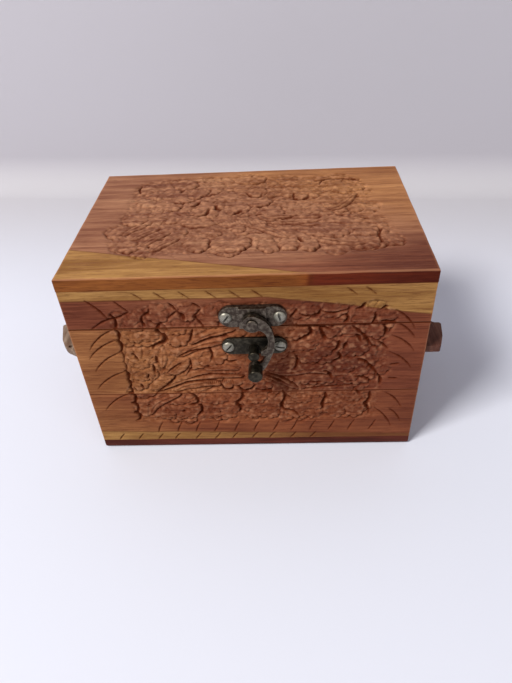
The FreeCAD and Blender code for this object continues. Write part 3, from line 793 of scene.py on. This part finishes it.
class Shader:
    """A small helper that builds one material's node tree."""

    def __init__(self, name):
        self.material = bpy.data.materials.new(name)
        self.material.use_nodes = True
        self.tree = self.material.node_tree
        self.surface = self.tree.nodes["Principled BSDF"]

    def node(self, kind, inputs=None, **settings):
        """Add a node, set its properties, and connect or set its inputs."""
        made = self.tree.nodes.new(kind)
        for key, value in settings.items():
            setattr(made, key, value)
        self.feed(made, inputs or {})
        return made

    def feed(self, made, inputs):
        """Connect or set a node's inputs."""
        for key, value in inputs.items():
            if isinstance(value, bpy.types.NodeSocket):
                self.tree.links.new(value, made.inputs[key])
            else:
                made.inputs[key].default_value = value

    def math(self, operation, a, b=0.0, clamp=False):
        """One sum on numbers."""
        return self.node("ShaderNodeMath", {0: a, 1: b}, operation=operation, use_clamp=clamp).outputs[0]

    def times(self, a, b, clamp=False):
        return self.math("MULTIPLY", a, b, clamp)

    def plus(self, a, b):
        return self.math("ADD", a, b)

    def minus(self, a, b):
        return self.math("SUBTRACT", a, b)

    def step(self, value, low, high, out_low=0.0, out_high=1.0):
        """A smooth step of value from low to high."""
        inputs = {"Value": value, "From Min": low, "From Max": high, "To Min": out_low, "To Max": out_high}
        return self.node("ShaderNodeMapRange", inputs, interpolation_type="SMOOTHSTEP").outputs["Result"]

    def mix(self, share, a, b, blend="MIX"):
        """Mix two colours."""
        inputs = {0: share, 6: a, 7: b}
        return self.node("ShaderNodeMix", inputs, data_type="RGBA", blend_type=blend).outputs[2]

    def noise(self, vector, scale, detail=4.0, rough=0.55, distort=0.0):
        """A noise value."""
        inputs = {"Vector": vector, "Scale": scale, "Detail": detail, "Roughness": rough,
                  "Distortion": distort}
        return self.node("ShaderNodeTexNoise", inputs).outputs["Fac"]

    def attribute(self, name):
        """A value stored on the mesh."""
        return self.node("ShaderNodeAttribute", attribute_name=name).outputs["Fac"]

    def place(self, stretch=(1, 1, 1), shift=(0, 0, 0)):
        """The point in millimetres, squeezed along each axis."""
        point = self.node("ShaderNodeTexCoord").outputs["Object"]
        scale = tuple(s / MM for s in stretch)
        inputs = {"Vector": point, "Scale": scale, "Location": shift}
        return self.node("ShaderNodeMapping", inputs).outputs["Vector"]

    def plane(self, normal, offset):
        """The signed distance, in millimetres, past the plane normal . point = offset."""
        dot = self.node("ShaderNodeVectorMath", {0: self.place(), 1: normal}, operation="DOT_PRODUCT")
        return self.minus(dot.outputs["Value"], offset)

    def shelter(self, reach, inside=False):
        """How open the surface is within reach millimetres: 0 in a corner or, inside, at an edge."""
        made = self.node("ShaderNodeAmbientOcclusion", {"Distance": reach * MM}, samples=6, inside=inside)
        return made.outputs["AO"]

    def bump(self, height, strength, distance):
        """Give the surface a bump."""
        inputs = {"Height": height, "Strength": strength, "Distance": distance * MM}
        self.plug("Normal", self.node("ShaderNodeBump", inputs).outputs["Normal"])

    def plug(self, key, value):
        """Connect or set an input of the surface."""
        self.feed(self.surface, {key: value})


HEART = {"dark": srgb(92, 44, 27), "mid": srgb(130, 74, 46), "light": srgb(158, 100, 62)}
TAN = {"dark": srgb(128, 80, 46), "light": srgb(182, 128, 80)}
PURPLE = {"dark": srgb(74, 33, 24), "light": srgb(127, 69, 48)}
RAIL = {"dark": srgb(82, 38, 25), "mid": srgb(114, 62, 42), "light": srgb(142, 88, 60)}
STAIN = srgb(72, 26, 10)
SAP = {"dark": srgb(122, 82, 40), "light": srgb(168, 126, 74)}


def wood(name, grain, shift, tones=HEART, sap=(), fade=None, tan=None, purple=None, edges=False):
    """Rosewood: banded heartwood with pores, optional golden sapwood and patches of other tone.

    grain is the axis the fibres run along. tan, purple and each of sap are (normal, offset, softness)
    planes past which that tone takes over; past fade the sapwood reddens. edges paints shade on the board's
    own edge faces, darker and redder on the right, which is turned from the key light.
    """
    s = Shader(name)
    slim = {"X": (0.09, 1, 1), "Y": (1, 0.09, 1), "Z": (1, 1, 0.09)}[grain]
    fibre_slim = {"X": (0.035, 1, 1), "Y": (1, 0.035, 1), "Z": (1, 1, 0.035)}[grain]
    along = s.place(slim, shift)
    warp = s.noise(s.place((0.02, 0.02, 0.02), shift), 1.0, 2.0)
    bands = s.noise(along, 0.16, 5.0, 0.62, 0.6)
    rings = s.node("ShaderNodeTexWave", {"Vector": along, "Scale": 0.05, "Distortion": 9.0, "Detail": 3.0,
                                         "Detail Scale": 0.5, "Detail Roughness": 0.6},
                   wave_type="BANDS", bands_direction={"X": "Y", "Y": "X", "Z": "X"}[grain]).outputs["Fac"]
    fibre = s.noise(s.place(fibre_slim, shift), 2.4, 4.0, 0.7)
    streak = s.noise(s.place(fibre_slim, (9, 1, 4)), 0.9, 3.0, 0.65)
    pores = s.step(s.noise(s.place(fibre_slim, (3, 5, 9)), 4.6, 2.0, 0.5), 0.60, 0.70)
    blend = s.plus(s.times(bands, 0.55), s.times(rings, 0.12))
    blend = s.plus(blend, s.times(s.minus(streak, 0.35), 0.6))
    blend = s.plus(blend, s.times(s.minus(warp, 0.5), 0.7))
    colour = s.mix(s.step(blend, 0.22, 0.50), tones["dark"], tones["mid"])
    colour = s.mix(s.step(blend, 0.46, 0.78), colour, tones["light"])
    wander = s.times(s.minus(s.noise(along, 0.35, 3.0), 0.5), 3.0)

    def past(patch, waver, strength=1.0):
        normal, offset, softness = patch
        reach = s.plus(s.plane(normal, offset), s.times(wander, waver))
        return s.step(reach, -softness, softness, 0.0, strength)

    for patch, shades in ((tan, TAN), (purple, PURPLE)):
        if patch:
            toned = s.mix(s.step(blend, 0.2, 0.8), shades["dark"], shades["light"])
            colour = s.mix(past(patch, 8.0, 0.85), colour, toned)
    if sap:
        share = past(sap[0], 0.35)
        for patch in sap[1:]:
            share = s.math("MAXIMUM", share, past(patch, 0.35))
        if fade:
            share = s.times(share, s.minus(1.0, past(fade, 2.0, 0.6)))
        gold = s.mix(s.step(bands, 0.3, 0.7), SAP["dark"], SAP["light"])
        colour = s.mix(share, colour, gold)
        margin = s.times(share, s.minus(1.0, share))
        colour = s.mix(s.times(margin, 2.2, True), colour, STAIN)
    colour = s.mix(s.times(s.step(fibre, 0.42, 0.68), 0.5), colour, tones["dark"])
    colour = s.mix(s.times(pores, 0.7), colour, STAIN)
    dark = s.attribute("dark")
    # Painted shade on the board's edge faces, darker and redder on the right, away from the key light
    if edges:
        split = s.node("ShaderNodeSeparateXYZ", {0: s.place()})
        beyond = s.math("MAXIMUM", s.minus(s.math("ABSOLUTE", split.outputs[0]), HALF_X - 0.35),
                        s.minus(s.math("ABSOLUTE", split.outputs[1]), HALF_Y - 0.35))
        painted_edge_shade = s.mix(s.step(split.outputs[0], 18, 30), srgb(204, 164, 138), srgb(206, 144, 112))
        colour = s.mix(s.step(beyond, 0.0, 0.2), colour, painted_edge_shade, "MULTIPLY")
    # Lighter from wearing, plus painted highlight on raised parts, lit tool marks and rounded edges
    worn_and_lit = s.mix(0.45, colour, srgb(206, 150, 112))
    colour = s.mix(s.times(s.attribute("wear_and_highlight"), 0.8), colour, worn_and_lit)
    # Darker and redder where the carved ground lies deepest
    ground = s.mix(0.45, colour, srgb(96, 46, 30))
    colour = s.mix(s.times(s.attribute("deep_ground"), 0.55), colour, ground)
    # Darkening from the dark share: stained wood in the cuts, plus painted shade in cuts, hollows and on
    # tool marks turned from the light
    colour = s.mix(s.times(dark, 0.9), colour, STAIN)
    s.plug("Base Color", colour)
    s.plug("Roughness", s.plus(0.52, s.times(fibre, 0.16)))
    s.plug("Specular IOR Level", s.times(0.07, s.minus(1.0, dark)))
    height = s.minus(s.times(fibre, 0.5), pores)
    s.bump(height, 0.35, 0.12)
    return s.material


def latch_metal(name, base, bright, roughness, mottle=0.35):
    """Blackened metal, lighter on its edges from wearing and a painted highlight, mottled on its flats, and
    with painted shade in its corners.
    """
    s = Shader(name)
    patches = s.noise(s.place(), 0.55, 5.0, 0.65)
    grit = s.noise(s.place(), 3.2, 3.0, 0.6)
    colour = s.mix(s.times(s.step(patches, 0.4, 0.7), mottle), base, bright)
    # Lighter along convex edges: wearing, plus a painted highlight
    colour = s.mix(s.times(s.step(s.shelter(0.5, True), 0.75, 0.35), 0.7), colour, bright)
    # Painted shade in corners and crevices
    colour = s.mix(s.step(s.shelter(1.6), 0.75, 0.3, 0.0, 0.8), colour, srgb(20, 15, 12))
    s.plug("Base Color", colour)
    s.plug("Metallic", 0.9)
    s.plug("Roughness", s.plus(roughness, s.times(s.minus(patches, 0.5), 0.3)))
    s.bump(s.plus(grit, patches), 0.25, 0.08)
    return s.material


def screw_steel(name):
    """Dull zinc plate with fine scratches and patches of grime, and painted shade in the slots and round
    the rims.
    """
    s = Shader(name)
    scratches = s.noise(s.place((1, 1, 0.15)), 4.0, 3.0, 0.7)
    grime = s.step(s.noise(s.place(), 1.1, 4.0), 0.45, 0.75)
    colour = s.mix(s.times(grime, 0.6), srgb(148, 144, 132), srgb(78, 72, 60))
    # Painted shade in the slots and round the rims
    colour = s.mix(s.step(s.shelter(0.8), 0.92, 0.55, 0.0, 0.95), colour, srgb(16, 13, 10))
    s.plug("Base Color", colour)
    s.plug("Metallic", 0.75)
    s.plug("Roughness", s.plus(0.36, s.times(scratches, 0.2)))
    s.bump(scratches, 0.2, 0.05)
    return s.material


# ---------------------------------------------------------------- the box

def build_boards():
    """Every board, carved outside and plain inside."""
    handle_low, handle_high = span("side_handle_left", Vector((0, 0, 1)))
    reliefs = {"front": carve_front(), "top": carve_top(), "back": carve_back(),
               "left": carve_side(handle_low, handle_high), "right": carve_side(handle_low, handle_high)}
    # How strongly painted light and shade change between tool marks; strongest on the top, which the light
    # from above leaves flat
    mottle = {"front": 1.15, "top": 1.6, "back": 0.5, "left": 0.5, "right": 0.5}
    fields = {face: relief.finished(mottle[face]) for face, relief in reliefs.items()}

    def board(node, face, material, body, slot="carved_wood", **more):
        carved_board(node, face, reliefs[face], fields[face], material, slot, body, **more)

    # The lid top's tones are paler than the heartwood's: partly the board's own colour, partly a painted
    # sheen of the lit top
    lid_top = wood("lid_top_wood", "X", (11, 3, 7), {"dark": srgb(114, 70, 52), "mid": srgb(148, 102, 76),
                                                     "light": srgb(180, 136, 102)},
                   sap=[((-0.2228, -0.9749, 0), 43.6, 0.5)], tan=((0.5, 0.85, 0), 28, 22),
                   purple=((0.25, -0.97, 0), 42, 14), edges=True)
    board("lid_top_board", "top", lid_top, "lid", "lid_wood", round_edge=LID_EDGE, grid=TOP_GRID)
    rail = wood("lid_front_wood", "X", (5, 23, 2), RAIL,
                sap=[((0, 0, 1), 90.8, 0.5), ((0.153, 0, 0.988), 91.0, 0.5)])
    board("lid_front_rail", "front", rail, "lid")
    upper = wood("front_upper_wood", "X", (31, 2, 17), tan=((-1, 0, -0.5), 5, 30),
                 purple=((1, 0, 0), 24, 26))
    board("body_front_upper", "front", upper, "body")
    lower = wood("front_lower_wood", "X", (3, 41, 29), sap=[((-0.03, 0, -0.9995), -9.9, 0.5)],
                 fade=((1, 0, 0), 20, 60), tan=((-1, 0, -1), 34, 30), purple=((1, 0, 0), 60, 40))
    board("body_front_lower", "front", lower, "body")
    plain = wood("back_wood", "X", (17, 13, 37))
    board("lid_back_rail", "back", plain, "lid", hinge_leaf="hinge_leaf_lid_")
    board("body_back_upper", "back", plain, "body", hinge_leaf="hinge_leaf_body_")
    board("body_back_lower", "back", plain, "body")
    for face, shift in (("left", (7, 19, 3)), ("right", (29, 5, 11))):
        side_wood = wood(face + "_side_wood", "Y", shift)
        board("lid_" + face + "_rail", face, side_wood, "lid")
        board("body_" + face + "_upper", face, side_wood, "body")
        board("body_" + face + "_lower", face, side_wood, "body")


def slim_shank(pin, node, by):
    """Take a little off the shank of a headed pin along Y, so that what turns on it stays clear of it."""
    low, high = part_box(node)
    middle_x, middle_z = (low.x + high.x) / 2, (low.z + high.z) / 2
    head = (high.x - low.x) / 2
    for vertex in pin.data.vertices:
        out = Vector((vertex.co.x - middle_x, 0, vertex.co.z - middle_z))
        if 0 < out.length < 0.8 * head:
            vertex.co -= out.normalized() * by * MM


def build_fittings():
    """Handles, latch, hinges and screws."""
    bottom = wood("bottom_wood", "X", (13, 7, 5), {"dark": srgb(62, 26, 20), "mid": srgb(92, 44, 34),
                                                   "light": srgb(116, 62, 46)})
    softened("bottom_board", bottom, "body", 0.3)
    # The two handles share one wood in lit and shaded copies: the left's paler, greyer tones are a painted
    # sheen from the key light, the right's darker ones painted shade
    sheen_lit_tones = {"dark": srgb(104, 84, 70), "mid": srgb(146, 128, 112), "light": srgb(172, 158, 140)}
    shaded_tones = {"dark": srgb(80, 50, 42), "mid": srgb(112, 76, 64), "light": srgb(136, 98, 80)}
    for side, tones in (("left", sheen_lit_tones), ("right", shaded_tones)):
        handle_wood = wood("handle_wood_" + side, "Y", (2, 3, 4), tones)
        softened("side_handle_" + side, handle_wood, "body", 0.6, 3)
    latch = latch_metal("latch_metal", srgb(60, 50, 43), srgb(168, 156, 138), 0.38)
    sooty = latch_metal("sooty_metal", srgb(40, 36, 29), srgb(112, 104, 88), 0.44)
    for node, body, metal in (("catch_plate", "body", sooty), ("catch_stud", "body", sooty),
                              ("hasp_plate", "lid", latch), ("hasp_rivet", "lid", latch),
                              ("hasp_hook", "hook", latch), ("hook_knob", "hook", sooty)):
        piece = softened(node, metal, body, LATCH_BEVEL, 3)
        if node == "hasp_rivet":
            slim_shank(piece, node, SHANK_ROOM)
    zinc = screw_steel("zinc_screws")
    for node, body in (("catch_screws", "body"), ("hasp_screws", "lid")):
        softened(node, zinc, body, SCREW_BEVEL)
    nail = latch_metal("nail_steel", srgb(70, 60, 52), srgb(120, 108, 96), 0.5)
    softened("handle_nails", nail, "body", 0.1)
    brass = latch_metal("hinge_brass", srgb(120, 88, 44), srgb(176, 140, 84), 0.36, 0.6)
    for side in ("left", "right"):
        softened("hinge_leaf_body_" + side, brass, "body", 0.15)
        softened("hinge_pin_" + side, brass, "body", 0.1)
        softened("hinge_leaf_lid_" + side, brass, "lid", 0.15)
    softened("hinge_screws_body", brass, "body", 0.08)
    softened("hinge_screws_lid", brass, "lid", 0.08)


# ---------------------------------------------------------------- stage, light and camera

def build_stage():
    """A pale floor that bends up into a slightly greyer backdrop, a little way behind the box; the cloth's
    darkening towards the back and up the backdrop is painted shade.
    """
    wide, near, far, rise, bend = 1.6, -1.2, 0.262, 1.4, 0.03
    profile = [(near, 0.0), (-0.02, 0.0), (far - bend, 0.0)]
    for angle in np.linspace(0.1, math.pi / 2, 12):
        profile.append((far - bend + bend * math.sin(angle), bend - bend * math.cos(angle)))
    profile.append((far, rise))
    mesh = bpy.data.meshes.new("floor")
    points = [(x, y - 0.08 * x, z) for y, z in profile for x in (-wide, wide)]
    quads = [(i, i + 1, i + 3, i + 2) for i in range(0, 2 * len(profile) - 2, 2)]
    mesh.from_pydata(points, [], quads)
    for polygon in mesh.polygons:
        polygon.use_smooth = True
    floor = added("floor", mesh)
    s = Shader("floor_cloth")
    weave = s.noise(s.place(), 1.4, 2.0)
    # Painted shade: the cloth darkens towards the back and again up the backdrop
    back = s.step(s.plane((0.08, 1, 0), 0), 40, 250)
    wall = s.step(s.plane((0, 0, 1), 0), 2, 30)
    pale = s.mix(s.times(weave, 0.15), srgb(208, 211, 223), srgb(197, 200, 212))
    pale = s.mix(back, pale, srgb(186, 184, 190))
    s.plug("Base Color", s.mix(wall, pale, srgb(181, 178, 186)))
    s.plug("Roughness", 0.9)
    mesh.materials.append(s.material)


def area_light(name, place, aim, size, power, colour):
    """A soft square light at place, pointing at aim."""
    lamp = bpy.data.lights.new(name, "AREA")
    lamp.shape = "SQUARE"
    lamp.size = size
    lamp.energy = power
    lamp.color = colour
    holder = added(name, lamp)
    holder.location = place
    holder.rotation_euler = (Vector(aim) - Vector(place)).to_track_quat("-Z", "Y").to_euler()


def build_light():
    """A large soft key from upper left and a weak fill, in a pale surrounding light."""
    aim = (0, 0, 0.05)
    area_light("key", (-1.05, -0.85, 1.6), aim, 0.6, KEY_POWER, (1.0, 0.975, 0.935))
    area_light("fill", (0.5, -0.9, 0.7), aim, 0.9, FILL_POWER, (0.97, 0.98, 1.0))
    world = bpy.data.worlds.new("studio")
    world.use_nodes = True
    surround = world.node_tree.nodes["Background"]
    surround.inputs["Color"].default_value = (0.90, 0.88, 0.89, 1)
    seen = world.node_tree.nodes.new("ShaderNodeLightPath").outputs["Is Camera Ray"]
    strength = world.node_tree.nodes.new("ShaderNodeMapRange")
    strength.inputs["To Min"].default_value = AMBIENT
    strength.inputs["To Max"].default_value = AMBIENT_SEEN
    world.node_tree.links.new(seen, strength.inputs["Value"])
    world.node_tree.links.new(strength.outputs["Result"], surround.inputs["Strength"])
    bpy.context.scene.world = world


def build_camera():
    """A camera a little above and in front, looking down at the latch side."""
    place = Vector((14.43, -234.50, 218.81)) * MM
    right = Vector((0.99870, 0.02144, -0.04618))
    back = Vector((0.04589, -0.77170, 0.63433))
    up = back.cross(right)
    lens = bpy.data.cameras.new("camera")
    lens.sensor_width = 36.0
    lens.lens = 29.307
    lens.clip_start = 0.01
    camera = added("camera", lens)
    camera.matrix_world = Matrix.Translation(place) @ Matrix((right, up, back)).transposed().to_4x4()
    bpy.context.scene.camera = camera


build_boards()
build_fittings()
build_stage()
build_light()
build_camera()
bpy.context.scene.view_settings.view_transform = "Standard"
bpy.context.view_layer.update()
